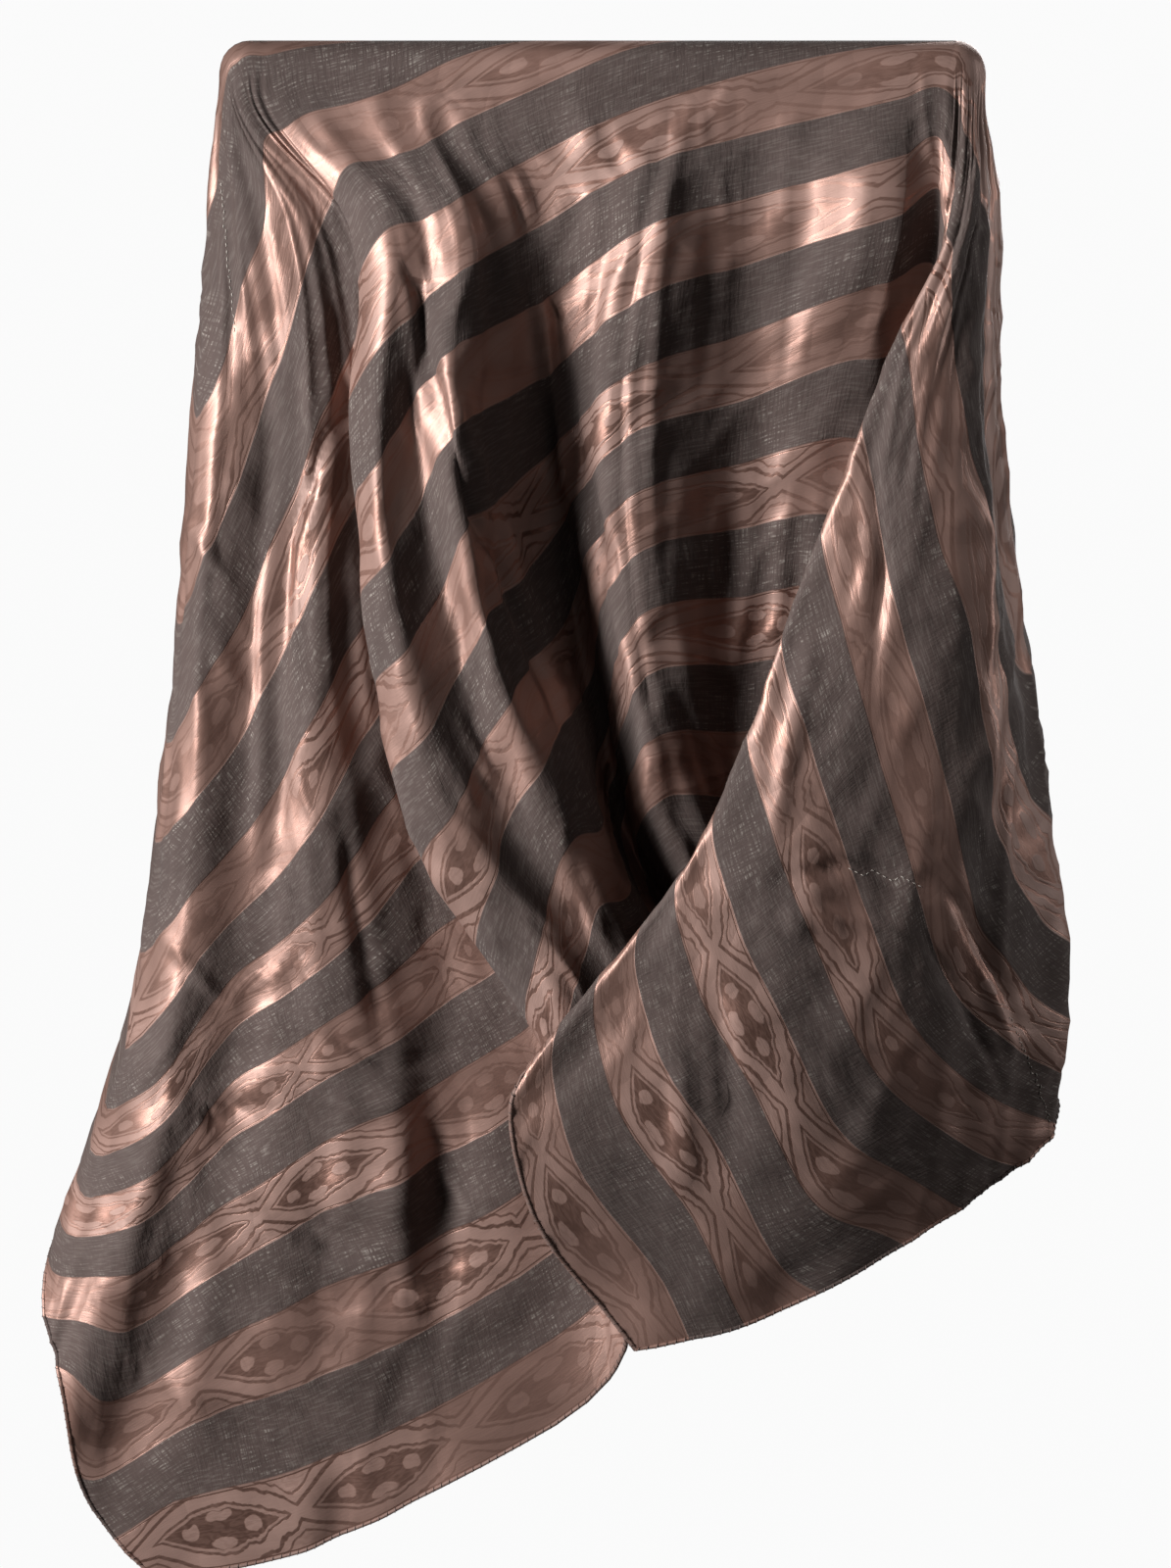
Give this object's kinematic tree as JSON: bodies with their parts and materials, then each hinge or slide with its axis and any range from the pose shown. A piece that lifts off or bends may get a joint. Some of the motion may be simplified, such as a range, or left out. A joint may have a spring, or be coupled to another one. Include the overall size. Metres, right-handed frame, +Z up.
{
  "type": "striped silk scarf on a plain back board",
  "caption": "Large striped silk scarf thrown over an upright board, hanging in deep folds at the front and back with pointed corners.",
  "frame": {"origin": "middle of the scarf's top line, where it lies over the board's top edge", "axes": "+Z up, -Y towards the front of the drape, +X to the right as seen from the front"},
  "size_m": [0.6166, 0.2582, 0.9275],
  "materials": {
    "silk": "rose-brown figured satin stripes and dark crepe stripes",
    "board": "smooth, plain"
  },
  "bodies": {
    "root": {"back_board": "board", "top_wrap": "silk", "left_fall": "silk", "roll_fold": "silk", "centre_panel": "silk", "right_fall": "silk", "back_right": "silk", "back_centre": "silk", "back_left": "silk"}
  },
  "joints": []
}
